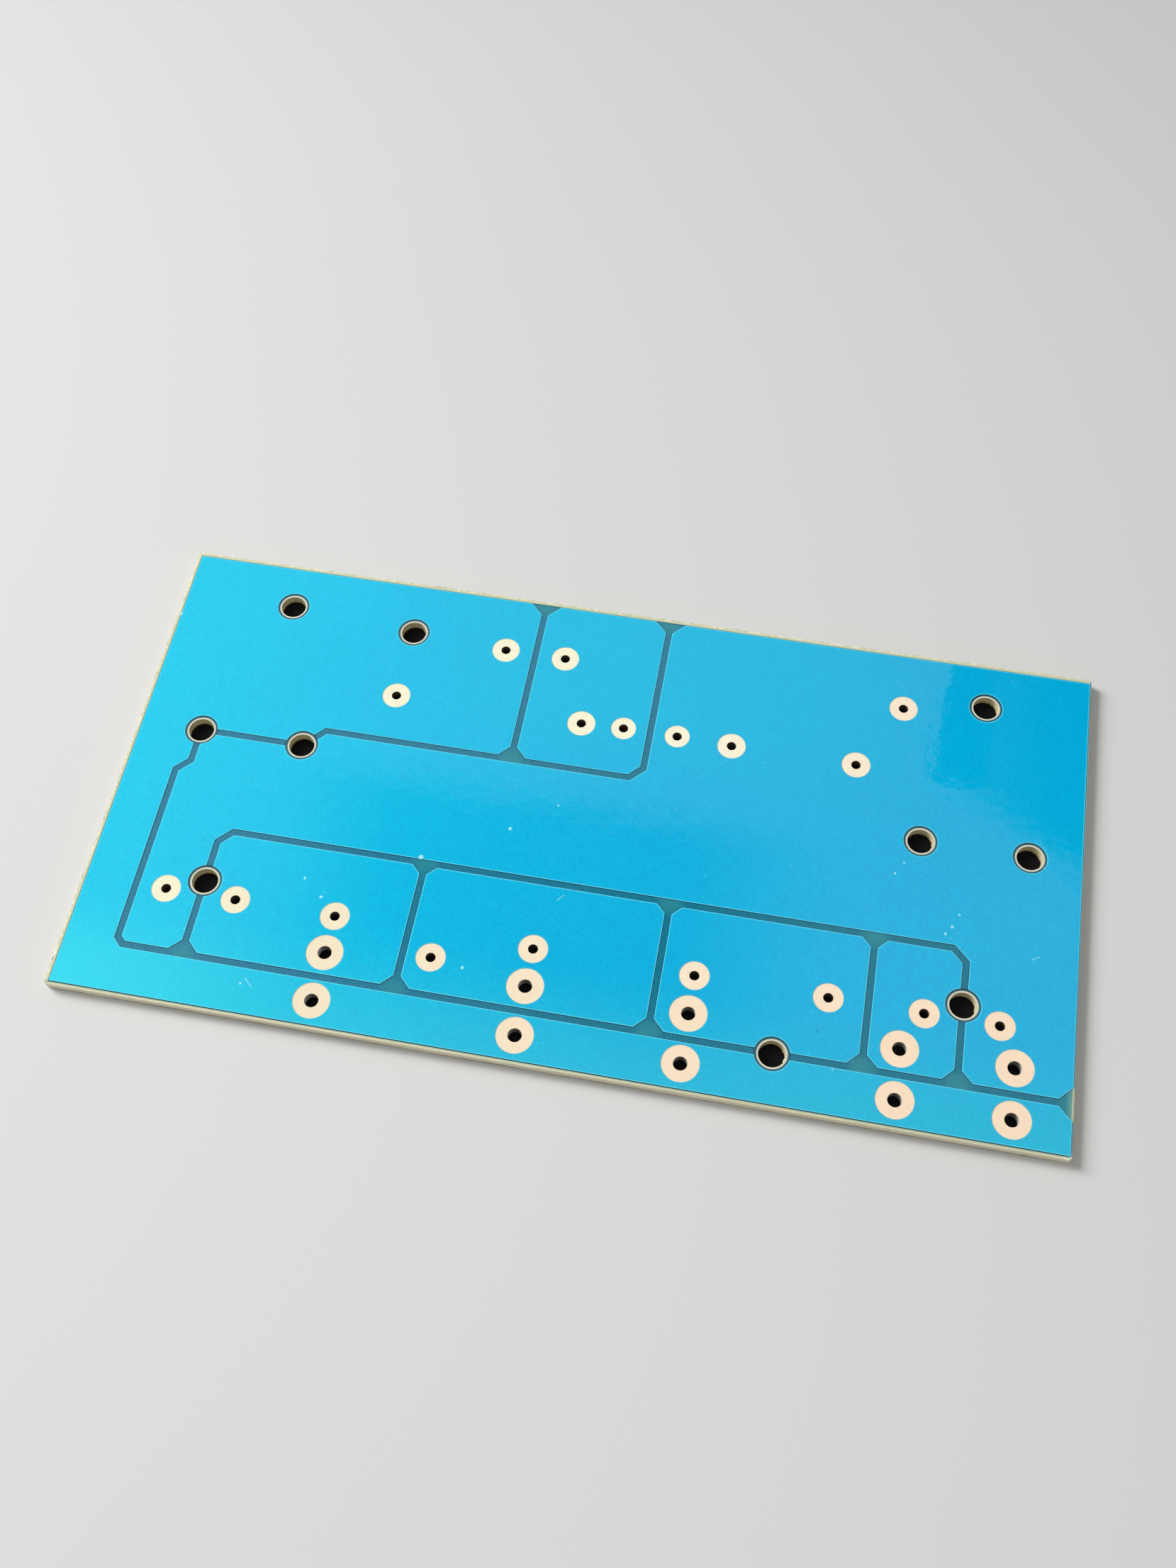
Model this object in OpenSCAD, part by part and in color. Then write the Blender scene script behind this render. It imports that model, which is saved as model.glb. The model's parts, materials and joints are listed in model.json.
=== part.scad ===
// Bare loudspeaker crossover board: one laminate plate, etched copper areas on its top side,
// and a solder mask film over them with openings at every pad and hole.
// The layout is measured from the front left corner of the copper.

/* [Board] */
// Width of the board, left to right
board_w = 149; // [124:0.5:190]
// Depth of the board, front to back
board_d = 79; // [77:0.5:110]
// Thickness of the bare laminate
laminate_t = 1.5; // [0.8:0.1:3.2]
// Radius of the board's corners
corner_r = 0.4; // [0.2:0.1:2]

/* [Copper] */
// Thickness of the copper foil
copper_t = 0.07; // [0.035:0.005:0.21]
// Bare margin from the board's left edge to the copper
margin_left = 0.7; // [0.3:0.1:1.5]
// Bare margin from the board's right edge to the copper
margin_right = 0.3; // [0.3:0.1:1.5]
// Bare margin from the board's front edge to the copper
margin_front = 0.6; // [0.3:0.1:1.5]
// Bare margin from the board's back edge to the copper
margin_back = 0.8; // [0.3:0.1:1.5]
// Width of the gaps etched between the copper areas
gap_w = 1.15; // [0.6:0.05:1.5]
// Corner cut of a gap that turns behind the outputs and round the link area
gap_turn = 2; // [1:0.1:4]
// Corner cut of the gap that turns into the front rail
front_turn = 1.05; // [0.8:0.05:3]
// Corner cut of the copper where a gap runs out at its edge
edge_flare = 1.9; // [0.5:0.1:3]
// Corner cut of the copper where a gap meets the front rail or the shelf
rail_flare = 1.65; // [0.5:0.05:3]
// Corner cut of the copper where a gap meets the one behind the outputs
output_flare = 1.35; // [0.5:0.05:3]

/* [Solder mask] */
// Thickness of the film
mask_t = 0.03; // [0.015:0.005:0.06]
// Thickness of the film down the copper's edges
mask_side = 0.05; // [0.02:0.01:0.1]
// How far the film reaches past the copper onto the margin
mask_overlap = 0.18; // [0.15:0.01:0.25]

/* [Coil places] */
// Left leg of the input copper, from the middle of the strip's gap to the middle of the first coil
leg_w = 10.15; // [8.3:0.05:14]
// From the middle of the second coil to the copper's right edge
coil_right = 16.05; // [13:0.05:24]
// Middle of the coils, from the copper's front edge
coil_y = 44.85; // [43:0.05:46]
// Distance between the front and back tie holes of a coil
coil_tie_span = 50.8; // [48:0.1:54]
// Distance between the two side tie holes of a coil
coil_tie_pitch = 16.5; // [14:0.1:18]
// Distance between the two lead holes of a coil
coil_lead_pitch = 10.85; // [10.2:0.05:12]

/* [Tie holes] */
// Diameter of a tie hole
tie_hole_d = 4; // [3:0.1:4.4]
// Width of the bare laminate ring round a tie hole
tie_bare_ring = 0.3; // [0.1:0.05:0.4]
// Width of the film between that ring and the copper
tie_mask_ring = 0.35; // [0.2:0.05:0.5]
// Place of the tie hole behind the first capacitor, from the copper's front edge
cap_tie_y = 68.7; // [63:0.1:72]

/* [Terminals] */
// Diameter of a terminal hole
terminal_hole_d = 2.1; // [1.2:0.1:2.6]
// Diameter of a terminal pad
terminal_pad_d = 5.5; // [4.5:0.1:6]
// Place of the front terminal row, from the copper's front edge
terminal_row_y = 3.65; // [3.3:0.05:3.8]
// Distance between the two holes of a terminal pair
terminal_pitch = 7.62; // [7.5:0.01:8]

/* [Component leads] */
// Diameter of a lead hole
lead_hole_d = 1.5; // [0.8:0.1:2]
// Diameter of a lead pad
lead_pad_d = 4.4; // [3:0.1:5]
// Diameter of the pads of the small capacitor
small_pad_d = 3.9; // [3:0.1:4.5]
// Place of the front lead row, from the copper's front edge
front_row_y = 17.2; // [16.8:0.1:18]
// Distance between the two lead holes of a capacitor
cap_lead_pitch = 39.2; // [36:0.1:42]
// Distance between the two lead holes of the small capacitor
small_lead_pitch = 8.6; // [6.5:0.1:9]
// How far the small capacitor lies behind the back lead row
small_row_shift = 0.25; // [0:0.05:1]
// Place of the resistor's front lead hole, from the copper's front edge
resistor_y = 13.25; // [12:0.05:15]
// Distance between the two lead holes of the resistor
resistor_lead_pitch = 54.65; // [52:0.05:57]
// From the first gap between the outputs to the resistor's lead holes
resistor_room = 4.2; // [3.3:0.05:6]
// Distance between the two lead holes across the gap left of the link area
link_lead_pitch = 9.85; // [8:0.05:11]

/* [Gap places] */
// Front rail of the common copper, from its front edge to the middle of the gap behind it
rail_d = 7.36; // [7:0.02:7.7]
// Left strip of the common copper, from its left edge to the middle of the gap beside it
strip_w = 7.8; // [6:0.1:9]
// Gap behind the outputs, from the copper's front edge
output_gap_y = 28.15; // [25:0.05:33]
// How far the shelf gap lies behind the middle of the coils
shelf_rise = 3.2; // [2.8:0.1:4.5]
// How far the step in the left gap lies before the middle of the coils
step_drop = 7.55; // [5:0.05:12]
// Length of the slanted part of that step, front to back
step_run = 1.9; // [1:0.1:3]

/* [Hidden] */
$fn = 64;
// Every cut runs this far past the surface that it leaves
overrun = 0.5;
copper_w = board_w - margin_left - margin_right;
copper_d = board_d - margin_front - margin_back;

// Columns of the layout, as shares of the distance between the coils, from the first coil's middle
cap_x_shares = [0.183, 0.448, 0.659, 0.831];
side_terminal_x_shares = [0.926, 1.069];
output_gap_x_shares = [0.283, 0.6125, 0.882];
link_right_x_share = 0.545;
spare_x_share = 0.887;
rail_tie_x_share = 0.77;

first_coil_x = strip_w + leg_w;
coil_span = copper_w - first_coil_x - coil_right;
function column(share) = first_coil_x + share * coil_span;
coil_x = [column(0), column(1)];
cap_x = [for (share = cap_x_shares) column(share)];
terminal_x = concat([cap_x[0], cap_x[1], cap_x[2]], [for (share = side_terminal_x_shares) column(share)]);
output_gap_x = [for (share = output_gap_x_shares) column(share)];
resistor_x = output_gap_x[0] + resistor_room;
link_left_x = resistor_x + link_lead_pitch / 2;
link_right_x = column(link_right_x_share);
side_tie_x = [coil_x[0] - coil_tie_pitch / 2, coil_x[0] + coil_tie_pitch / 2];

back_row_y = front_row_y + cap_lead_pitch;
far_row_y = resistor_y + resistor_lead_pitch;
small_row_y = back_row_y + small_row_shift;
shelf_y = coil_y + shelf_rise;
step_y = coil_y - step_drop;

tie_opening_d = tie_hole_d + 2 * tie_bare_ring;
tie_clearance_d = tie_opening_d + 2 * tie_mask_ring;

tie_places = concat(
    [for (x = coil_x, end = [-1, 1]) [x, coil_y + end * coil_tie_span / 2]],
    [for (x = coil_x, side = [-1, 1]) [x + side * coil_tie_pitch / 2, coil_y]],
    [[cap_x[0], cap_tie_y], [column(rail_tie_x_share), rail_d]]
);
terminal_places = [for (x = terminal_x, row = [0, 1]) [x, terminal_row_y + row * terminal_pitch]];
lead_places = concat(
    [for (x = coil_x, side = [-1, 1]) [x + side * coil_lead_pitch / 2, front_row_y]],
    [for (x = cap_x, y = [front_row_y, back_row_y]) [x, y]],
    [for (y = [resistor_y, far_row_y]) [resistor_x, y]],
    [[resistor_x + link_lead_pitch, far_row_y], [column(spare_x_share), far_row_y]]
);
small_places = [for (side = [-1, 1]) [link_right_x + side * small_lead_pitch / 2, small_row_y]];

// Middle lines of the gaps. The long one starts at the back edge, passes the link area, the shelf,
// the first coil's side holes and the left strip, and runs along the front rail to the right edge.
long_gap = [
    [link_right_x, copper_d + overrun],
    [link_right_x, shelf_y + gap_turn],
    [link_right_x - gap_turn, shelf_y],
    [side_tie_x[1] + shelf_rise, shelf_y],
    [side_tie_x[1], coil_y],
    [side_tie_x[0], coil_y],
    [side_tie_x[0], step_y + step_run],
    [strip_w, step_y],
    [strip_w, rail_d + front_turn],
    [strip_w + front_turn, rail_d],
    [copper_w + overrun, rail_d]
];
link_gap = [[link_left_x, copper_d + overrun], [link_left_x, shelf_y]];
output_gap = [
    [coil_x[0], rail_d],
    [coil_x[0], output_gap_y - gap_turn],
    [coil_x[0] + gap_turn, output_gap_y],
    [coil_x[1] - gap_turn, output_gap_y],
    [coil_x[1], output_gap_y - gap_turn],
    [coil_x[1], rail_d]
];
divider_gaps = [for (x = output_gap_x) [[x, output_gap_y], [x, rail_d]]];
output_bounds = concat([coil_x[0]], output_gap_x, [coil_x[1]]);

// Outline of a stripe of half width h along a line, with mitred turns
function unit(v) = v / norm(v);
function left_of(v) = [-v[1], v[0]];
function heading(line, i) = unit(line[i + 1] - line[i]);
function mitre(line, i, h) =
    let (
        before = left_of(heading(line, max(i - 1, 0))),
        after = left_of(heading(line, min(i, len(line) - 2))),
        out = unit(before + after)
    )
    line[i] + out * h / (out * before);
function stripe(line, h) = concat(
    [for (i = [0 : len(line) - 1]) mitre(line, i, h)],
    [for (i = [len(line) - 1 : -1 : 0]) mitre(line, i, -h)]
);

// Moves the layout from the copper's corner to its place on the board
module layout() {
    translate([margin_left - board_w / 2, margin_front - board_d / 2]) children();
}

module discs(places, d) {
    for (place = places) translate(place) circle(d = d);
}

module drilled_holes() {
    discs(terminal_places, terminal_hole_d);
    discs(lead_places, lead_hole_d);
    discs(small_places, lead_hole_d);
}

// Three-cornered clearing with 45 degree sides, its tip at a distance reach along a heading.
// Its base lies on the place, or runs back past it by base.
module flare(place, angle, reach, base = 0) {
    translate(place) rotate(angle)
        polygon([[reach, 0], [-base, reach + base], [-base, -reach - base]]);
}

// All the room between the copper areas, made narrower by inset on every side
module gaps(inset) {
    h = gap_w / 2 - inset;
    slope_inset = inset * sqrt(2);
    rail_reach = gap_w + rail_flare - slope_inset;
    output_reach = gap_w + output_flare - slope_inset;
    edge_reach = gap_w / 2 + edge_flare - slope_inset;
    for (line = concat([long_gap, link_gap, output_gap], divider_gaps)) polygon(stripe(line, h));
    for (x = concat(output_gap_x, coil_x)) flare([x, rail_d], 90, rail_reach);
    for (x = output_gap_x) flare([x, output_gap_y], -90, output_reach);
    flare([link_left_x, shelf_y], 90, rail_reach);
    for (x = [link_left_x, link_right_x]) flare([x, copper_d], -90, edge_reach, overrun);
    flare([copper_w, rail_d], 180, edge_reach, overrun);
    discs(tie_places, tie_clearance_d - 2 * inset);
}

// Every copper area at once, larger by grow on every side
module copper_areas(grow) {
    difference() {
        translate([-grow, -grow]) square([copper_w + 2 * grow, copper_d + 2 * grow]);
        gaps(grow);
    }
}

// The copper area that lies inside the outline given as children
module copper_area() {
    color("#f3d9bd") translate([0, 0, laminate_t]) layout() linear_extrude(copper_t) difference() {
        intersection() {
            children();
            square([copper_w, copper_d]);
        }
        gaps(0);
        drilled_holes();
    }
}

module board_laminate() {
    reach = [board_w / 2 - corner_r, board_d / 2 - corner_r];
    color("#d8dabb") linear_extrude(laminate_t) difference() {
        union() {
            square([board_w, 2 * reach[1]], center = true);
            square([2 * reach[0], board_d], center = true);
            for (x = [-1, 1], y = [-1, 1]) translate([x * reach[0], y * reach[1]]) circle(r = corner_r);
        }
        layout() {
            discs(tie_places, tie_hole_d);
            drilled_holes();
        }
    }
}

// Common area: front rail, left strip and the back left field
module common_copper() {
    copper_area() polygon(concat(
        [for (i = [3 : len(long_gap) - 1]) long_gap[i]],
        [[copper_w + overrun, -overrun], [-overrun, -overrun], [-overrun, copper_d + overrun]],
        link_gap
    ));
}

// Small area at the back, between the common and the input copper
module link_copper() {
    copper_area() polygon(concat(link_gap, [long_gap[2], long_gap[1], long_gap[0]]));
}

// Input area: the back right field, the band before the coils and a leg down each side
module input_copper() {
    last = len(long_gap) - 1;
    copper_area() polygon(concat(
        [for (i = [0 : last - 1]) long_gap[i]],
        output_gap,
        [long_gap[last], [copper_w + overrun, copper_d + overrun]]
    ));
}

// One of the four areas behind the front rail, counted from the left
module output_copper(i) {
    copper_area() intersection() {
        polygon(output_gap);
        translate([output_bounds[i], rail_d])
            square([output_bounds[i + 1] - output_bounds[i], output_gap_y - rail_d]);
    }
}

// Film that lies on the laminate in the gaps and steps up over each copper area
module solder_mask() {
    film_w = copper_w + 2 * mask_overlap;
    film_d = copper_d + 2 * mask_overlap;
    color("#1fb4dc") translate([0, 0, laminate_t]) layout() difference() {
        union() {
            linear_extrude(mask_t) translate([-mask_overlap, -mask_overlap]) square([film_w, film_d]);
            linear_extrude(copper_t + mask_t) copper_areas(mask_side);
        }
        translate([0, 0, -overrun]) linear_extrude(copper_t + overrun) copper_areas(0);
        translate([0, 0, -overrun]) linear_extrude(copper_t + mask_t + 2 * overrun) {
            discs(tie_places, tie_opening_d);
            discs(terminal_places, terminal_pad_d);
            discs(lead_places, lead_pad_d);
            discs(small_places, small_pad_d);
        }
    }
}

board_laminate();
common_copper();
link_copper();
input_copper();
output_copper(0);  // output_1_copper
output_copper(1);  // output_2_copper
output_copper(2);  // output_3_copper
output_copper(3);  // output_4_copper
solder_mask();
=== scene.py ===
import json
import math
import random

import bmesh
import bpy
from mathutils import Matrix, Vector


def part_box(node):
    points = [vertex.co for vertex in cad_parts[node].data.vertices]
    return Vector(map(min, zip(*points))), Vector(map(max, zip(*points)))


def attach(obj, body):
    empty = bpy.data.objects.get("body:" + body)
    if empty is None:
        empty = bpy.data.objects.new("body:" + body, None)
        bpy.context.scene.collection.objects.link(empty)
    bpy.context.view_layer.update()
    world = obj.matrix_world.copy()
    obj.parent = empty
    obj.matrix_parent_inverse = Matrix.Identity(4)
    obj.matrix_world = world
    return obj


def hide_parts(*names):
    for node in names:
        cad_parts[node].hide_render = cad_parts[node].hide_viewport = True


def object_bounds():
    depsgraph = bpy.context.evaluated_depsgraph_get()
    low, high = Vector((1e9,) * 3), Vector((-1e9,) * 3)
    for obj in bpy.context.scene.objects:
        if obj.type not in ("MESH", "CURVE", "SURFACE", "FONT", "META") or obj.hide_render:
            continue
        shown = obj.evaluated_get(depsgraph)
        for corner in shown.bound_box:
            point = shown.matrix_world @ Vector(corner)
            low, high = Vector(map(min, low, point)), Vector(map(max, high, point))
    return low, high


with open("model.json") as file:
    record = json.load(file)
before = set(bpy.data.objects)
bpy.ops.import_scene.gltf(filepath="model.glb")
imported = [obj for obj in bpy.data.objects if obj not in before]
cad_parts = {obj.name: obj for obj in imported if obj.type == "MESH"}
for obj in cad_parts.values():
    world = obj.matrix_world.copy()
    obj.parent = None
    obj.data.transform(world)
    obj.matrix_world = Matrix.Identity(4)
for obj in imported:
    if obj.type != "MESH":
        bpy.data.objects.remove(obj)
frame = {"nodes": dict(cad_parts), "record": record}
cad_low, cad_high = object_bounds()

MM = 0.001
# Half the board's length and depth in millimetres
HALF_LENGTH, HALF_DEPTH = cad_high.x / MM, cad_high.y / MM
# Heights of the layers; the film lies lower in the gaps, where it rests on the laminate
LAMINATE_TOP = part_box("board_laminate")[1].z
COPPER_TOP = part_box("common_copper")[1].z
MASK_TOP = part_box("solder_mask")[1].z
FILM_TOP = LAMINATE_TOP + MASK_TOP - COPPER_TOP
# How near points lie that are level, joined, on a cut or on the outline
LEVEL = 0.004 * MM
JOINED = 1e-7
ON_CUT = 1e-8
ON_OUTLINE = 1e-6
SIDES = [Vector(side).freeze() for side in ((1, 0, 0), (-1, 0, 0), (0, 1, 0), (0, -1, 0))]

# The film's rounded shoulder: its steep and its gentle strip, and how far each goes down
STEEP_STRIP, GENTLE_STRIP = 0.06 * MM, 0.14 * MM
STEEP_DROP, GENTLE_DROP = 0.012 * MM, 0.004 * MM
# Strips of the film in the gaps: along the board's outline and at the foot of the copper
FILM_STRIP = 0.22 * MM
FOOT_STRIP = 0.12 * MM
# Painted shadow falls at the foot of copper edges that face this way, away from the lamp
SHADOWED_SIDE = Vector((0.15, -0.55, 0.0))
# Painted numbers one strip in from the edge, of the lip and the shoulder: beside a pad and elsewhere
BESIDE_PAD, BESIDE_GAP = (0.4, 0.15), (0.0, 0.62)
# Painted shade at the foot of the copper: its least, and its value before the shadowed side adds to it
LEAST_FOOT_SHADE, EVEN_FOOT_SHADE = 0.17, 0.4
# Width of the film's dark ring round a tie hole, and of the laminate inside it that is free of painted
# shade
TIE_RING = 0.66 * MM
UNSHADED_RING = 0.19 * MM

# The sawn outline: its strip, the step of its marks, their depth in millimetres by axis and side, and the
# wear of its upper corner
EDGE_STRIP = 0.30 * MM
SAW_STEP = 0.4 * MM
SAW_DEPTH = {(0, -1): 0.15, (0, 1): 0.04, (1, -1): 0.06, (1, 1): 0.18}
SAW_WEAR = 0.05 * MM
# Edges of the outline longer than this are cut into steps
LONG_EDGE = 20 * MM
# Burrs of the tie holes: height, number of chips, depth and grain in millimetres, and turn in radians
BURR_HEIGHT = 0.35 * MM
CHIPS = 36
BURR_DEPTH = (0.2, 0.8)
BURR_GRAIN = 0.03
BURR_TURN = (-0.7, 0.3)

# Pitch of the glass weave in millimetres
WEAVE_PITCH = 0.55
# Reach of the greener film where gaps meet, and of the gap's end at the right edge, in millimetres
JUNCTION_REACH = 1.7
GAP_END_REACH = (2.2, 2.8)
# Width of the shaded side of the film's ring round a tie hole, in millimetres
RING_SHADE = 0.10
# Painted reflection and shade of a terminal hole's wall, and how much painted shade the back of the wall
# adds
TERMINAL_SHADE, BACK_SHADE = 0.35, 0.5
# Cells of faint dust for each millimetre
DUST_CELLS = 0.16
# Dust specks on the blue face: x, y and radius in millimetres
SPECKS = [
    (-12.0, -2.7, 0.26), (55.8, -7.3, 0.20), (-37.7, -18.9, 0.22),
    (-14.3, -26.3, 0.22), (46.7, 0.0, 0.17), (54.9, -8.6, 0.19), (-40.9, -16.3, 0.20),
    (-5.5, 2.5, 0.15), (56.7, -5.2, 0.15), (47.9, 2.0, 0.15),
    (-24.4, -9.8, 0.34), (-45.8, -34.4, 0.16), (-73.9, 27.0, 0.30), (40.8, -32.25, 0.10),
]
DARK_SPECKS = [(38.0, -27.0, 0.16)]
# White bruise of a bare corner: x, y and radius in millimetres
CORNER_CHIPS = [(74.3, -39.2, 0.75)]
# Fine scratches on the blue face, pale and dark: both ends in millimetres, and their width
SCRATCHES = [
    ((-45.4, -33.4), (-44.1, -34.6)), ((-2.7, -13.3), (-1.8, -12.3)), ((67.7, -10.5), (68.7, -9.9)),
]
DARK_SCRATCHES = [((-58.3, -12.3), (-56.7, -13.1))]
SCRATCH_WIDTH, DARK_SCRATCH_WIDTH = 0.09, 0.08

# The camera: lens and sensor in millimetres, its place in metres and two of its axes
LENS, SENSOR = 36.997, 36.0
CAMERA_PLACE = (0.02248762, -0.10981115, 0.22225608)
CAMERA_RIGHT = Vector((0.98360582, 0.17986734, -0.01293585))
CAMERA_UP = Vector((-0.15223116, 0.86664783, 0.47512863))
# The softbox: its place, the point it faces, its side in metres, its power in watts and its spread
SOFTBOX_PLACE = Vector((-0.97, 0.36, 0.65))
SOFTBOX_TARGET = Vector((-0.11, -0.06, 0.0))
SOFTBOX_SIDE = 0.6
SOFTBOX_POWER = 2.9
SOFTBOX_SPREAD = math.radians(60)
# The floor: half its side in metres, and how far it lies below the board
FLOOR_HALF = 3.0
FLOOR_DROP = 0.02 * MM


class Value:
    """A socket of one material's node tree. Arithmetic on it adds Math nodes."""

    def __init__(self, tree, socket=None):
        self.tree = tree
        self.socket = socket

    def node(self, kind, settings=None, values=None, out=0):
        """Adds any node: its settings first, then the values or links of its sockets."""
        made = self.tree.nodes.new(kind)
        for name, setting in (settings or {}).items():
            setattr(made, name, setting)
        for name, value in (values or {}).items():
            if isinstance(value, Value):
                self.tree.links.new(value.socket, made.inputs[name])
            else:
                made.inputs[name].default_value = value
        return Value(self.tree, made.outputs[out])

    def maths(self, operation, *terms):
        return self.node("ShaderNodeMath", {"operation": operation}, dict(enumerate(terms)))

    def __add__(self, other):
        return self.maths("ADD", self, other)

    __radd__ = __add__

    def __sub__(self, other):
        return self.maths("SUBTRACT", self, other)

    def __rsub__(self, other):
        return self.maths("SUBTRACT", other, self)

    def __mul__(self, other):
        return self.maths("MULTIPLY", self, other)

    __rmul__ = __mul__

    def __truediv__(self, other):
        return self.maths("DIVIDE", self, other)

    def __lt__(self, other):
        return self.maths("LESS_THAN", self, other)

    def __abs__(self):
        return self.maths("ABSOLUTE", self)

    def sine(self):
        return self.maths("SINE", self)

    def most(self, other):
        return self.maths("MAXIMUM", self, other)

    def least(self, other):
        return self.maths("MINIMUM", self, other)

    def vector(self, operation, *terms, out=0):
        return self.node("ShaderNodeVectorMath", {"operation": operation}, dict(enumerate(terms)), out)

    def parts(self):
        outputs = self.node("ShaderNodeSeparateXYZ", values={0: self}).socket.node.outputs
        return [Value(self.tree, output) for output in outputs]

    def clamp(self):
        return self.node("ShaderNodeClamp", values={"Value": self})

    def ramp(self, low, high):
        """0 below low, 1 above high and a smooth rise between."""
        return self.node(
            "ShaderNodeMapRange",
            {"interpolation_type": "SMOOTHSTEP"},
            {"Value": self, "From Min": low, "From Max": high},
        )

    def between(self, low, full, ending, high):
        """A smooth rise from low to full, and a smooth fall from ending to high."""
        return self.ramp(low, full) * (1 - self.ramp(ending, high))

    def mix(self, low, high):
        """The colour low where this value is 0 and high where it is 1."""
        low, high = (end if isinstance(end, Value) else (*end, 1.0) for end in (low, high))
        return self.node("ShaderNodeMix", {"data_type": "RGBA"}, {0: self, 6: low, 7: high}, out=2)


def finish(name, **constants):
    """A new material, its Principled shader and the tree that feeds it."""
    material = bpy.data.materials.new(name)
    material.use_nodes = True
    shader = material.node_tree.nodes["Principled BSDF"]
    for socket, value in constants.items():
        shader.inputs[socket.replace("_", " ")].default_value = value
    return material, shader, Value(material.node_tree)


def feed(shader, **links):
    """Links values to the shader's sockets."""
    for socket, value in links.items():
        value.tree.links.new(value.socket, shader.inputs[socket.replace("_", " ")])


def place(tree):
    """Object coordinates in millimetres, and their three parts."""
    coordinates = tree.node("ShaderNodeTexCoord", out=3)
    point = tree.node("ShaderNodeVectorMath", {"operation": "SCALE"}, {0: coordinates, "Scale": 1 / MM})
    return point, point.parts()


def scaled(point, *shares):
    """The point with each of its parts stretched by a share of its own."""
    return point.vector("MULTIPLY", point, shares)


def speckle(point, scale, detail=2.0, roughness=0.5):
    return point.node(
        "ShaderNodeTexNoise",
        values={"Vector": point, "Scale": scale, "Detail": detail, "Roughness": roughness},
    )


def bump(height, distance, strength):
    values = {"Height": height, "Distance": distance, "Strength": strength}
    return height.node("ShaderNodeBump", values=values)


def painted(tree, name):
    """A number painted on the mesh's points."""
    return tree.node("ShaderNodeAttribute", {"attribute_name": name}, out=2)


def tinted(colour, *tints):
    """The colour with each tint laid over it in turn: how far it covers, and its colour."""
    for share, tint in tints:
        colour = share.mix(colour, tint)
    return colour


def spots(point, places, soft=0.6):
    """1 inside each small round place, with a soft border."""
    marks = None
    for x, y, radius in places:
        reach = point.vector("DISTANCE", point, (x, y, 0.0), out=1)
        mark = 1 - reach.ramp(radius * (1 - soft), radius * (1 + soft))
        marks = mark if marks is None else marks.most(mark)
    return marks


def scratches(point, lines, width):
    """1 along each fine line, with a soft border."""
    marks = None
    for start, end in lines:
        start, along = Vector((*start, 0.0)), Vector((end[0] - start[0], end[1] - start[1], 0.0))
        offset = point.vector("SUBTRACT", point, start)
        share = offset.vector("DOT_PRODUCT", offset, along / along.length_squared, out=1).clamp()
        nearest = share.node("ShaderNodeVectorMath", {"operation": "SCALE"}, {0: along, "Scale": share})
        reach = offset.vector("DISTANCE", offset, nearest, out=1)
        mark = 1 - reach.ramp(width * 0.3, width)
        marks = mark if marks is None else marks.most(mark)
    return marks


def drilled(word):
    """Centres and radius of the holes whose mounts have this word in their name."""
    centres = []
    for mount in frame["record"]["mounts"]:
        if word in mount["name"]:
            middle, sizes = Vector(mount["pos_m"]), mount["dims"]
            radius = sizes.get("hole_r_mm", sizes.get("r_mm")) * MM
            half_x, half_y = (sizes.get(f"spacing_{axis}_mm", 0.0) * MM / 2 for axis in "xy")
            centres += {
                (middle.x + i * half_x, middle.y + j * half_y) for i in (-1, 1) for j in (-1, 1)
            }
    return sorted(centres), radius


def tie_circles(wider):
    """Circles round the tie holes in millimetres: x, y and a radius wider than the hole's."""
    centres, radius = drilled("tie")
    return [(x / MM, y / MM, (radius + wider) / MM) for x, y in centres]


def gap_junctions():
    """Places in millimetres where the gaps between the copper areas meet or run out at an edge."""
    outputs = [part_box(f"output_{i}_copper") for i in (1, 2, 3, 4)]
    link_low, link_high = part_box("link_copper")
    half_gap = (outputs[1][0].x - outputs[0][1].x) / 2
    front, back = outputs[0][0].y - half_gap, outputs[0][1].y + half_gap
    seams = [low.x - half_gap for low, _ in outputs[1:]]
    ends = [outputs[0][0].x - half_gap, outputs[3][1].x + half_gap]
    link_left, link_right = link_low.x - half_gap, link_high.x + half_gap
    places = [(x, y) for x in seams for y in (front, back)] + [(x, front) for x in ends]
    places += [(link_left, link_low.y - half_gap), (link_left, link_high.y), (link_right, link_high.y)]
    places.append((cad_high.x, front))
    return [(x / MM, y / MM, JUNCTION_REACH) for x, y in places]


def near_gap_end(y):
    """1 along the stretch of the right edge where the front gap runs out."""
    front_gap = gap_junctions()[-1][1]
    return 1 - abs(y - front_gap).ramp(*GAP_END_REACH)


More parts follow.
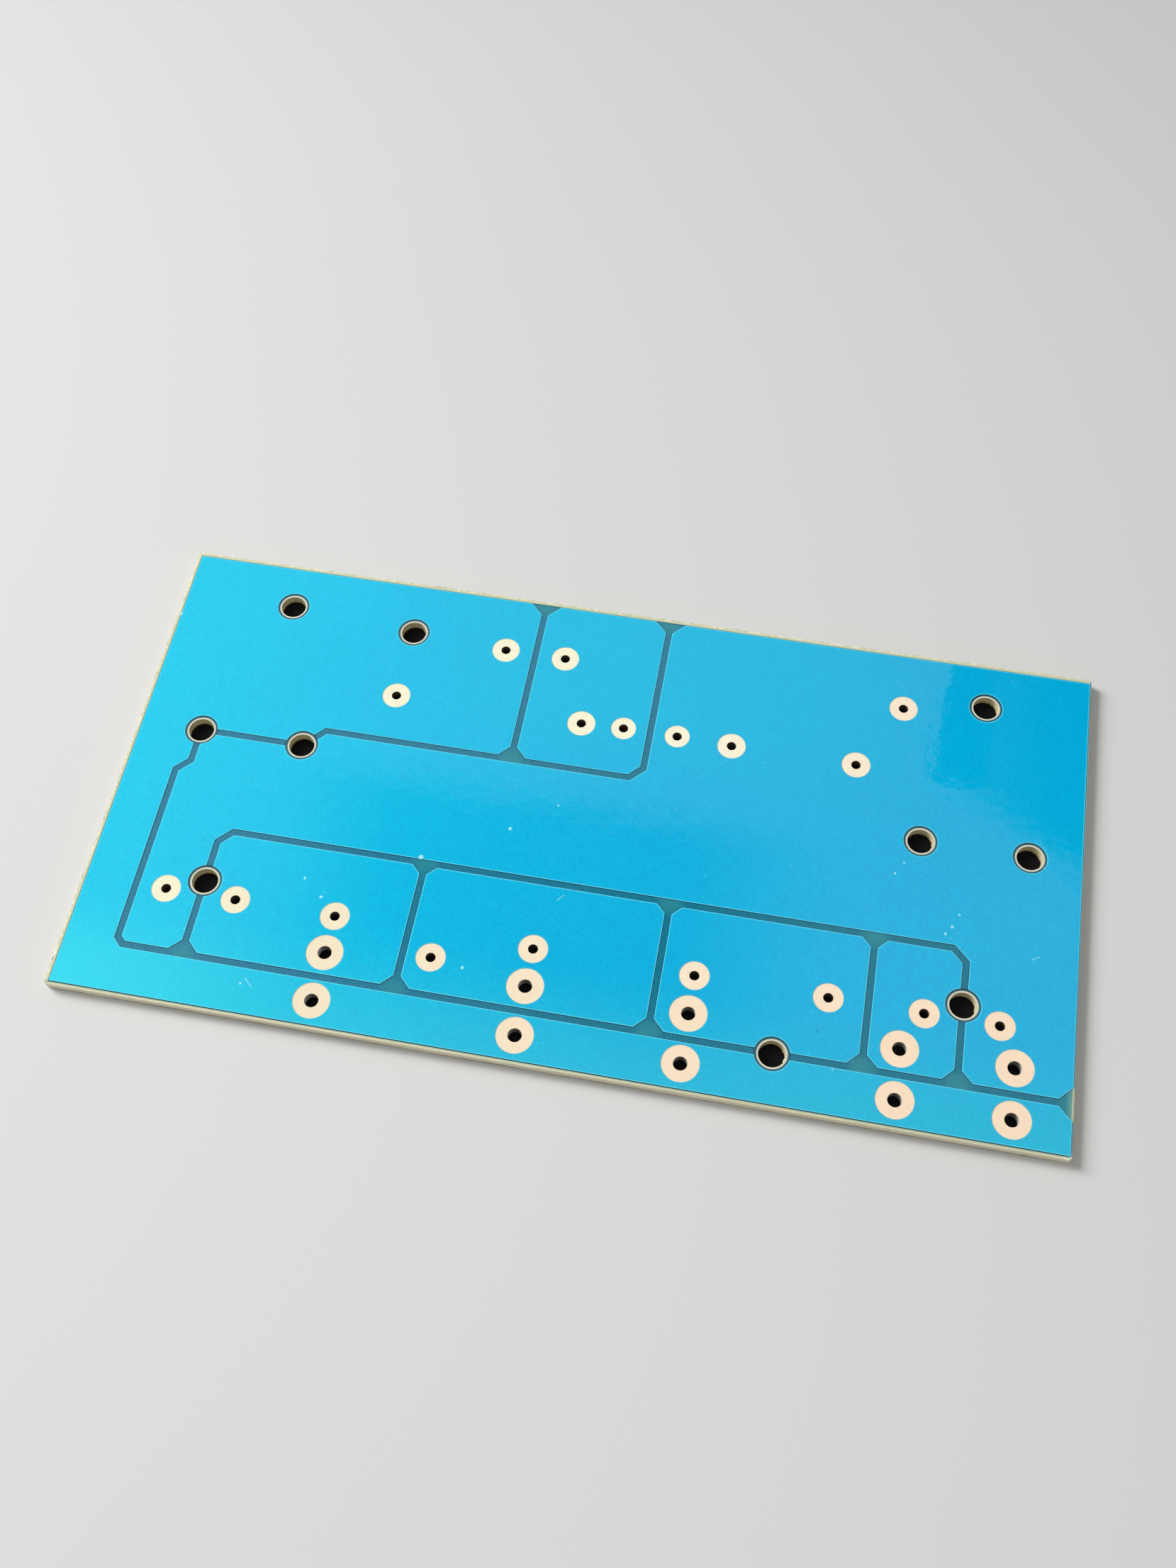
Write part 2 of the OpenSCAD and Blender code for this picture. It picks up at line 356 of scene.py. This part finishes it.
def laminate_face_finish():
    """Cream laminate with its weave, tinted in the margins and round the tie holes of the top."""
    material, shader, tree = finish("bare_laminate", Roughness=0.45, IOR=1.5)
    point, (x, y, z) = place(tree)
    flat = scaled(point, 1.0, 1.0, 0.0)
    rim = painted(tree, "rim")
    cloudy = speckle(point, 0.35, 3.0)
    fine = speckle(point, 4.0)
    turn = math.tau / WEAVE_PITCH
    weave = (x * turn).sine() * (y * turn).sine() * 0.5 + 0.5
    shade = (cloudy * 0.6 + weave * 0.2 + fine * 0.2).clamp()
    cream = shade.mix((0.58, 0.54, 0.32), (0.79, 0.74, 0.48))
    # Painted shade: the left and back strips are darker, against the lamp's stronger light there
    shaded_far_cream = shade.mix((0.46, 0.47, 0.28), (0.66, 0.67, 0.46))
    ring_cream = shade.mix((0.58, 0.56, 0.42), (0.76, 0.74, 0.60))
    front_green = (0.28, 0.43, 0.37)
    pale_lump = (0.84, 0.84, 0.70)
    right_blue = (0.24, 0.45, 0.55)
    ring_shade_grey = (0.24, 0.28, 0.26)
    chip_white = (0.92, 0.90, 0.83)

    from_left, from_right = x + HALF_LENGTH, HALF_LENGTH - x
    from_front, from_back = y + HALF_DEPTH, HALF_DEPTH - y
    top = z.ramp(LAMINATE_TOP / MM - 0.5, LAMINATE_TOP / MM - 0.3)
    inland = (HALF_LENGTH - abs(x)).least(HALF_DEPTH - abs(y)).ramp(1.1, 1.5) * top
    far = (1 - from_back.ramp(1.1, 1.5)).most(1 - from_left.ramp(0.7, 1.1)) * top
    by_film = from_front.between(0.05, 0.38, 0.5, 0.6) * from_right.ramp(0.2, 0.5) * top
    lumps = speckle(point, 1.6).ramp(0.45, 0.62) * rim.ramp(0.1, 0.8) * from_front.ramp(0.5, 1.5)
    by_right = (1 - from_right.ramp(0.1, 0.3)) * (1 - near_gap_end(y)) * top
    # Painted shade on the bare laminate round each tie hole, towards the film's edge
    ring_edge_shade = inland * (1 - spots(flat, tie_circles(UNSHADED_RING), 0.03))
    chips = spots(flat, CORNER_CHIPS) * rim.ramp(0.0, 0.1)
    colour = tinted(
        cream,
        (far, shaded_far_cream),
        (inland, ring_cream),
        (by_film * 0.75, front_green),
        (lumps * 0.8, pale_lump),
        (by_right * 0.85, right_blue),
        (ring_edge_shade * 0.6, ring_shade_grey),
        (chips, chip_white),
    )
    feed(shader, Base_Color=colour)
    feed(shader, Normal=bump(weave * 0.5 + fine, 0.01 * MM, 0.5))
    return material


def laminate_cut_finish():
    """Sawn and drilled walls: tan fibres in layers, paler in front as painted light, dark in the lead
    holes as painted shade.
    """
    material, shader, tree = finish("cut_laminate", Roughness=0.62, IOR=1.5)
    point, (_, y, z) = place(tree)
    bore = painted(tree, "bore")
    fibres = speckle(scaled(point, 2.0, 2.0, 9.0), 2.0, 3.0)
    tan = fibres.ramp(0.3, 0.7).mix((0.52, 0.45, 0.25), (0.80, 0.72, 0.46))
    # Painted light: a paler tan for the front wall, which stands in the lamp's shade
    lit_front_tan = fibres.mix((0.82, 0.77, 0.58), (0.96, 0.91, 0.74))
    dark_line = (0.20, 0.165, 0.09)
    pale_fibre = (0.84, 0.80, 0.62)
    # Painted reflection: the grey of the terminal holes' glossy walls
    terminal_reflection_grey = (0.50, 0.50, 0.47)
    # Painted shade: the lead holes' walls dark brown
    lead_hole_shade = (0.055, 0.036, 0.022)

    height = z + speckle(scaled(point, 0.5, 0.5, 5.0), 1.2, 3.0) * 0.24 - 0.12
    glass_line = height.between(1.02, 1.12, 1.20, 1.30)
    faint_line = height.between(0.66, 0.72, 0.76, 0.82)
    lower = 1 - height.ramp(0.22, 0.5)
    pale = (speckle(point, 2.6) * 0.7 + fibres * 0.3).ramp(0.60, 0.70)
    front = 1 - (y + HALF_DEPTH).ramp(0.1, 0.3)
    colour = tinted(
        tan,
        ((glass_line * 0.7).most(faint_line * 0.35).most(lower * 0.45), dark_line),
        (pale.most(height.ramp(1.34, 1.42) * 0.6), pale_fibre),
        (front * 0.75, lit_front_tan),
        (bore.ramp(0.05, 0.3), terminal_reflection_grey),
        (bore.ramp(0.3, 1.0) * 0.92, lead_hole_shade),
    )
    feed(shader, Base_Color=colour)
    feed(shader, Normal=bump(fibres, 0.04 * MM, 0.7))
    return material


def copper_finish():
    """Bare matte copper, paler to the left and the back, with a few dull marks."""
    material, shader, tree = finish("bare_copper", IOR=1.45, Metallic=0.1)
    point, (x, y, _) = place(tree)
    cloudy = speckle(point, 0.5, 3.0)
    grain = speckle(point, 6.0)
    marks = speckle(point, 2.2).ramp(0.58, 0.74)
    tone = (cloudy * 0.6 + grain * 0.4).clamp()
    across = x.ramp(-75, 60)
    front_peach = across.mix((0.85, 0.755, 0.545), (0.985, 0.765, 0.56))
    back_peach = across.mix((0.88, 0.868, 0.635), (0.985, 0.92, 0.715))
    right_peach = (0.985, 0.80, 0.61)
    dull_copper = (0.66, 0.50, 0.36)

    back = y.ramp(-40, 20).most((1 - x.ramp(-60, -40)) * 0.85)
    dull = ((1 - tone.ramp(0.3, 0.7)) * 0.14).most(marks * 0.28)
    colour = tinted(
        front_peach,
        (back, x.ramp(10, 60).mix(back_peach, right_peach)),
        (dull, dull_copper),
    )
    feed(shader, Base_Color=colour)
    feed(shader, Roughness=grain * 0.2 + 0.42)
    feed(shader, Normal=bump(grain, 0.008 * MM, 0.5))
    return material


def film_over_copper(x, y, tone, shoulder, lip):
    """The blue face: lighter to the left as painted sheen and deeper at the back right where it has none,
    with a pale shoulder at the gaps and a lip at the pads.
    """
    # Painted sheen: lighter towards the left and the front left, and deeper blue at the back right where
    # no sheen falls
    across = x.ramp(-95, 20)
    thin_film_and_sheen = across.mix((0.002, 0.60, 0.825), (0.002, 0.465, 0.755))
    thick_film_and_sheen = across.mix((0.001, 0.47, 0.69), (0.001, 0.355, 0.645))
    sheenless_blue = tone.mix((0.0, 0.33, 0.63), (0.001, 0.43, 0.74))
    sea_blue = (0.002, 0.62, 0.70)
    green = (0.04, 0.70, 0.42)
    sheen_cyan = (0.07, 0.82, 0.95)
    shoulder_blue = (0.13, 0.70, 0.86)
    lip_tan = (0.40, 0.32, 0.18)
    lip_pale = (0.45, 0.62, 0.58)

    back_right = y.ramp(0, 60) * x.ramp(20, 60)
    back_middle = y.ramp(0, 25) * x.between(-40, -5, 20, 60)
    front = 1 - y.ramp(-38, -22)
    front_left = front * (1 - x.ramp(-72, -35))
    return tinted(
        tone.mix(thick_film_and_sheen, thin_film_and_sheen),
        (back_right * 0.5, sheenless_blue),
        (back_middle * 0.16, sea_blue),
        (front * 0.12, green),
        (front_left * 0.22, sheen_cyan),
        (shoulder.ramp(0.05, 0.75) * 0.7, shoulder_blue),
        (lip.ramp(0.0, 0.4) * 0.2, lip_tan),
        (lip.ramp(0.45, 1.0) * 0.9, lip_pale),
    )


def film_in_gaps(x, y, flat, grain, foot, edge):
    """The film on the laminate: grey teal, dark round the tie holes, with painted shade at the foot of the
    copper and on the back side of each tie hole's ring.
    """
    dusty = grain.ramp(0.35, 0.65)
    rightward = x.ramp(-45, 40)
    clean_teal = rightward.mix((0.011, 0.143, 0.240), (0.001, 0.130, 0.205))
    dusty_teal = rightward.mix((0.023, 0.203, 0.318), (0.004, 0.190, 0.288))
    back_teal = dusty.mix((0.014, 0.145, 0.250), (0.027, 0.212, 0.340))
    ring_teal = (0.022, 0.095, 0.135)
    junction_teal = (0.024, 0.245, 0.295)
    painted_foot_shadow = (0.001, 0.020, 0.038)
    painted_ring_shade = (0.001, 0.022, 0.045)
    edge_dark = (0.012, 0.055, 0.065)
    right_green = (0.14, 0.34, 0.27)
    outermost = near_gap_end(y).mix((0.09, 0.31, 0.42), (0.42, 0.52, 0.36))

    rings = tie_circles(TIE_RING)
    ring = spots(flat, rings, 0.02)
    lit_rings = [(ring_x, ring_y - RING_SHADE, reach - RING_SHADE) for ring_x, ring_y, reach in rings]
    lit = spots(flat, lit_rings, 0.02)
    from_right = HALF_LENGTH - x
    return tinted(
        dusty.mix(clean_teal, dusty_teal),
        (y.ramp(0, 30) * 0.5, back_teal),
        (ring * 0.6, ring_teal),
        (spots(flat, gap_junctions()) * 0.7, junction_teal),
        # Painted shadow at the foot of the copper
        (foot.ramp(0.02, 0.4) * 0.97, painted_foot_shadow),
        # Painted shade on the back side of each tie hole's ring
        (ring * (1 - lit) * 0.9, painted_ring_shade),
        (edge.ramp(0.1, 0.9) * 0.8, edge_dark),
        ((1 - from_right.ramp(0.5, 1.3)) * 0.6, right_green),
        ((1 - from_right.ramp(0.3, 0.38)) * 0.9, outermost),
    )


def film_marks(point, flat):
    """How far faint dust, pale specks and dark marks cover the film."""
    uneven = speckle(point, 5.0, 1.0) * 0.25
    shift = flat.node("ShaderNodeCombineXYZ", values={"X": uneven, "Y": uneven})
    ragged = flat.vector("ADD", flat, shift)
    reach = flat.node(
        "ShaderNodeTexVoronoi",
        {"feature": "F1", "voronoi_dimensions": "2D"},
        {"Vector": scaled(flat, DUST_CELLS, DUST_CELLS, 0.0), "Scale": 1.0},
    )
    cell_colour = Value(reach.tree, reach.socket.node.outputs["Color"])
    chance = reach.node("ShaderNodeSeparateColor", values={0: cell_colour})
    faint = (reach < chance * 0.045 - 0.028) * 0.35
    speck = spots(ragged, SPECKS, 0.35).most(scratches(ragged, SCRATCHES, SCRATCH_WIDTH) * 0.6)
    dark_scratch = scratches(ragged, DARK_SCRATCHES, DARK_SCRATCH_WIDTH)
    dark = (dark_scratch * 0.6).most(spots(ragged, DARK_SPECKS, 0.5) * 0.7)
    return faint, speck, dark


def mask_finish():
    """Glossy film, blue over copper and teal in the gaps, with dust and fine scratches."""
    material, shader, tree = finish("blue_mask", IOR=1.65)
    point, (x, y, z) = place(tree)
    flat = scaled(point, 1.0, 1.0, 0.0)
    shoulder, foot, edge, lip = (painted(tree, name) for name in ("shoulder", "foot", "edge", "lip"))
    cloudy = speckle(point, 0.05, 3.0)
    mottle = speckle(point, 0.9, 3.0)
    grain = speckle(point, 4.0, 2.0, 0.6)
    tone = (cloudy * 0.3 + mottle.ramp(0.3, 0.7) * 0.15 + grain.ramp(0.3, 0.7) * 0.55).clamp()
    speck_white = (0.42, 0.82, 0.90)
    mark_blue = (0.0, 0.22, 0.38)

    blue = film_over_copper(x, y, tone, shoulder, lip)
    teal = film_in_gaps(x, y, flat, grain, foot, edge)
    over_copper = z.ramp(FILM_TOP / MM + 0.015, COPPER_TOP / MM - 0.01)
    faint, speck, dark = film_marks(point, flat)
    colour = tinted(
        teal,
        (over_copper, blue),
        (faint.most(speck * 0.85), speck_white),
        (dark, mark_blue),
    )
    feed(shader, Base_Color=colour)
    feed(shader, Roughness=speck * 0.4 + shoulder * 0.6 + 0.03)
    peel = speckle(point, 0.18) * 1.4 + speckle(point, 0.55) * 0.7
    feed(shader, Normal=bump(peel, 0.02 * MM, 0.45))
    return material


def floor_finish():
    """Pale all over, and dark only under the board as painted shade, where it shows through the holes."""
    material, shader, tree = finish("pale_floor", Roughness=0.7, Specular_IOR_Level=0.1)
    point, (x, y, _) = place(tree)
    pale = speckle(point, 0.004).mix((0.60, 0.60, 0.595), (0.64, 0.64, 0.635))
    # Painted shade: the floor is dark under the board
    dark = (0.006, 0.006, 0.007)
    shade_beneath_board = (abs(x) < HALF_LENGTH - 1.0) * (abs(y) < HALF_DEPTH - 1.0)
    feed(shader, Base_Color=shade_beneath_board.mix(pale, dark))
    return material


def merged_copy(node):
    """A bmesh of a CAD node with its loose triangles joined into flat faces."""
    bm = bmesh.new()
    bm.from_mesh(frame["nodes"][node].data)
    bmesh.ops.remove_doubles(bm, verts=bm.verts[:], dist=JOINED)
    bmesh.ops.dissolve_limit(
        bm, angle_limit=math.radians(0.5), use_dissolve_boundaries=False,
        verts=bm.verts[:], edges=bm.edges[:], delimit=set(),
    )
    return bm


def piece(name, bm, *materials):
    """A finished object that rides on the board."""
    mesh = bpy.data.meshes.new(name)
    bm.to_mesh(mesh)
    bm.free()
    for material in materials:
        mesh.materials.append(material)
    made = bpy.data.objects.new(name, mesh)
    bpy.context.scene.collection.objects.link(made)
    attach(made, "root")
    return made


def flat_faces(bm, height):
    """Faces that look up and lie at this height."""
    return [
        f for f in bm.faces
        if f.normal.z > 0.99 and all(abs(v.co.z - height) < LEVEL for v in f.verts)
    ]


def walls_at(v):
    """Upright faces that meet at this point."""
    return [f for f in v.link_faces if abs(f.normal.z) < 0.5]


def cut(bm, faces, at, normal):
    """Cuts these faces where they cross a plane."""
    parts = {part for f in faces for part in (f, *f.edges, *f.verts)}
    bmesh.ops.bisect_plane(bm, geom=list(parts), dist=ON_CUT, plane_co=at, plane_no=normal)


def inset(bm, faces, width):
    """Adds a strip of this width inside the border of these faces."""
    bmesh.ops.inset_region(
        bm, faces=faces, thickness=width, depth=0.0, use_boundary=True, use_even_offset=True,
    )


def round_shoulders(bm):
    """Slopes the film's upper face down to each copper edge and each pad, and paints both."""
    shoulder = bm.verts.layers.float["shoulder"]
    lip = bm.verts.layers.float["lip"]
    upper = flat_faces(bm, MASK_TOP)
    for strip in (STEEP_STRIP, GENTLE_STRIP):
        inset(bm, upper, strip)
        upper = [f for f in upper if f.is_valid]
    inner = {v for f in upper for v in f.verts}
    sloped = {v for f in flat_faces(bm, MASK_TOP) for v in f.verts} - inner
    at_pad = {}
    for v in sloped:
        walls = walls_at(v)
        if walls:
            at_pad[v] = min(w.co.z for f in walls for w in f.verts) > COPPER_TOP - LEVEL
    for v in sloped:
        if v in at_pad:
            v[lip], v[shoulder] = float(at_pad[v]), float(not at_pad[v])
            v.co.z -= STEEP_DROP
        else:
            beside_pad = any(at_pad.get(e.other_vert(v)) for e in v.link_edges)
            v[lip], v[shoulder] = BESIDE_PAD if beside_pad else BESIDE_GAP
            v.co.z -= GENTLE_DROP


def line_gaps(bm):
    """Gives the film in the gaps a strip along the outline and one at the copper, and paints both."""
    foot = bm.verts.layers.float["foot"]
    edge = bm.verts.layers.float["edge"]
    lower = flat_faces(bm, FILM_TOP)
    reaches = {side: max(v.co.dot(side) for f in lower for v in f.verts) - FILM_STRIP for side in SIDES}
    for side, reach in reaches.items():
        cut(bm, flat_faces(bm, FILM_TOP), side * reach, side)
    gaps = [
        f for f in flat_faces(bm, FILM_TOP)
        if all(f.calc_center_median().dot(side) < reach for side, reach in reaches.items())
    ]
    inset(bm, gaps, FOOT_STRIP)
    for v in {v for f in flat_faces(bm, FILM_TOP) for v in f.verts}:
        walls = walls_at(v)
        if any(w.co.z > FILM_TOP + LEVEL for f in walls for w in f.verts):
            # Painted shade at the foot of the copper, darkest where the wall faces the shadowed side
            v[foot] = max(LEAST_FOOT_SHADE, EVEN_FOOT_SHADE + max(f.normal.dot(SHADOWED_SIDE) for f in walls))
        elif walls:
            v[edge] = 1.0


def mask_film():
    """The film with a rounded shoulder at each copper edge and a soft lip at each pad."""
    bm = merged_copy("solder_mask")
    for name in ("shoulder", "foot", "edge", "lip"):
        bm.verts.layers.float.new(name)
    round_shoulders(bm)
    line_gaps(bm)
    bmesh.ops.recalc_face_normals(bm, faces=bm.faces[:])
    return piece("mask_film", bm, mask_finish())


def on_outline(v, axis):
    """True on the two sawn walls that this axis meets."""
    return abs(abs(v.co[axis]) - cad_high[axis]) < ON_OUTLINE


def saw_outline(bm, rng):
    """Roughens the plate's four sawn walls, wears their upper corner and paints them."""
    rim = bm.verts.layers.float["rim"]
    for side in SIDES:
        reach = max(v.co.dot(side) for v in bm.verts) - EDGE_STRIP
        cut(bm, [f for f in bm.faces if abs(f.normal.z) > 0.5], side * reach, side)
    for axis in (0, 1):
        long = [
            e for e in bm.edges
            if e.calc_length() > LONG_EDGE and all(on_outline(v, axis) for v in e.verts)
        ]
        for e in long:
            bmesh.ops.bisect_edges(bm, edges=[e], cuts=int(e.calc_length() / SAW_STEP))
        for v in [v for v in bm.verts if on_outline(v, axis)]:
            v[rim] = 1.0
            side = int(math.copysign(1, v.co[axis]))
            if abs(v.co[1 - axis]) < cad_high[1 - axis] - EDGE_STRIP - LEVEL:
                rough = SAW_DEPTH[axis, side] * (0.15 * rng.random() + 0.85 * rng.random() ** 4)
                v.co[axis] -= side * rough * MM
                if v.co.z > LAMINATE_TOP - LEVEL:
                    v.co.z -= SAW_WEAR * rng.random() ** 2


def paint_bores(bm):
    """Painted shade and reflection on the hole walls: 1 in the lead holes, less in the terminal holes and
    0 in the tie holes.
    """
    bore = bm.verts.layers.float["bore"]
    ties, tie_radius = drilled("tie")
    terminals, terminal_radius = drilled("terminal")
    for v in bm.verts:
        inside = abs(v.co.x) < cad_high.x - 1 * MM and abs(v.co.y) < cad_high.y - 1 * MM
        if inside and all((v.co.xy - Vector(c)).length > tie_radius * 1.1 for c in ties):
            v[bore] = 1.0
        for c in terminals:
            out = v.co.xy - Vector(c)
            if out.length < terminal_radius * 1.1:
                v[bore] = TERMINAL_SHADE + BACK_SHADE * max(0.0, out.normalized().y) ** 2


def fray_tie_holes(bm, rng):
    """Drill burrs: the lower rim of each tie hole is ragged on its right side."""
    centres, radius = drilled("tie")
    for x, y in centres:
        centre = Vector((x, y, 0.0))
        walls = [
            f for f in bm.faces
            if abs(f.normal.z) < 0.5 and (f.calc_center_median() - centre).xy.length < radius * 1.02
        ]
        cut(bm, walls, (0, 0, BURR_HEIGHT), (0, 0, 1))
        rim = [
            e for e in bm.edges
            if all(v.co.z < LEVEL and abs((v.co - centre).xy.length - radius) < 0.01 * MM for v in e.verts)
        ]
        bmesh.ops.bisect_edges(bm, edges=rim, cuts=2)
        strength = rng.uniform(*BURR_DEPTH)
        turned = rng.uniform(*BURR_TURN)
        chips = [rng.random() ** 2 for _ in range(CHIPS)]
        for v in bm.verts:
            out = (v.co - centre).xy
            if v.co.z < LEVEL and abs(out.length - radius) < 0.02 * MM:
                angle = math.atan2(out.y, out.x)
                side = max(0.0, math.cos(angle - turned)) ** 2
                turn = (angle / math.tau % 1.0) * CHIPS
                share = turn % 1.0
                chip = chips[int(turn) % CHIPS] * (1 - share) + chips[(int(turn) + 1) % CHIPS] * share
                inward = strength * side * chip + BURR_GRAIN * rng.random()
                v.co.x -= out.x / radius * inward * MM
                v.co.y -= out.y / radius * inward * MM


def laminate_plate():
    """The plate with its sawn outline rough and its tie holes frayed below."""
    bm = merged_copy("board_laminate")
    for name in ("rim", "bore"):
        bm.verts.layers.float.new(name)
    rng = random.Random(11)
    saw_outline(bm, rng)
    paint_bores(bm)
    fray_tie_holes(bm, rng)
    for f in bm.faces:
        f.material_index = 0 if abs(f.normal.z) > 0.5 else 1
    bmesh.ops.recalc_face_normals(bm, faces=bm.faces[:])
    return piece("laminate_plate", bm, laminate_face_finish(), laminate_cut_finish())


def floor():
    """The plain floor that the board lies on."""
    mesh = bpy.data.meshes.new("floor")
    bm = bmesh.new()
    bmesh.ops.create_grid(bm, x_segments=1, y_segments=1, size=FLOOR_HALF)
    bm.to_mesh(mesh)
    bm.free()
    mesh.materials.append(floor_finish())
    made = bpy.data.objects.new("floor", mesh)
    made.location.z = -FLOOR_DROP
    bpy.context.scene.collection.objects.link(made)


def softbox():
    """One soft lamp from the left and behind, with no mirror image of itself on the film."""
    lamp = bpy.data.lights.new("key_softbox", "AREA")
    lamp.shape = "RECTANGLE"
    lamp.size = lamp.size_y = SOFTBOX_SIDE
    lamp.energy = SOFTBOX_POWER
    lamp.spread = SOFTBOX_SPREAD
    holder = bpy.data.objects.new("key_softbox", lamp)
    holder.location = SOFTBOX_PLACE
    holder.rotation_euler = (SOFTBOX_TARGET - SOFTBOX_PLACE).to_track_quat("-Z", "Y").to_euler()
    holder.visible_glossy = False
    bpy.context.scene.collection.objects.link(holder)


def sky():
    """Even fill light with one dark card behind on the right and a dimmer band overhead."""
    world = bpy.data.worlds.new("studio")
    bpy.context.scene.world = world
    world.use_nodes = True
    fill, dark = (0.46, 0.46, 0.45), (0.0, 0.0, 0.0)
    x, y, z = Value(world.node_tree).node("ShaderNodeTexCoord", out=0).parts()
    upward = z.most(0.05)
    across, behind = x / upward, y / upward
    bend = behind - 0.6
    card_side = (across - bend * bend * 2.1).ramp(0.125, 0.129)
    post = card_side * (1 - across.ramp(0.164, 0.172)) * behind.ramp(0.567, 0.573)
    card = card_side * (behind + across * 0.63).ramp(0.648, 0.686)
    card = post.most(card * (across.ramp(0.16, 0.22) * 0.14 + 0.86))
    card = card * (1 - across.ramp(0.5, 0.7)) * (1 - behind.ramp(1.1, 1.4))
    band = behind.between(0.30, 0.40, 0.49, 0.53) * across.between(-0.36, -0.22, -0.05, 0.1)
    feed(world.node_tree.nodes["Background"], Color=card.most(band * 0.8).mix(fill, dark))


def camera():
    """The camera at the photo's place and angle."""
    lens = bpy.data.cameras.new("camera")
    lens.sensor_width = SENSOR
    lens.lens = LENS
    lens.clip_start = 0.005
    lens.clip_end = 20.0
    holder = bpy.data.objects.new("camera", lens)
    axes = Matrix((CAMERA_RIGHT, CAMERA_UP, CAMERA_RIGHT.cross(CAMERA_UP)))
    holder.matrix_world = Matrix.Translation(CAMERA_PLACE) @ axes.transposed().to_4x4()
    bpy.context.scene.collection.objects.link(holder)
    bpy.context.scene.camera = holder


film = mask_film()
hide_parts("solder_mask")
plate = laminate_plate()
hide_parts("board_laminate")
foil = copper_finish()
for name, node in frame["nodes"].items():
    if name.endswith("copper"):
        node.data.materials.clear()
        node.data.materials.append(foil)

floor()
softbox()
sky()
camera()
bpy.context.scene.view_settings.view_transform = "Standard"
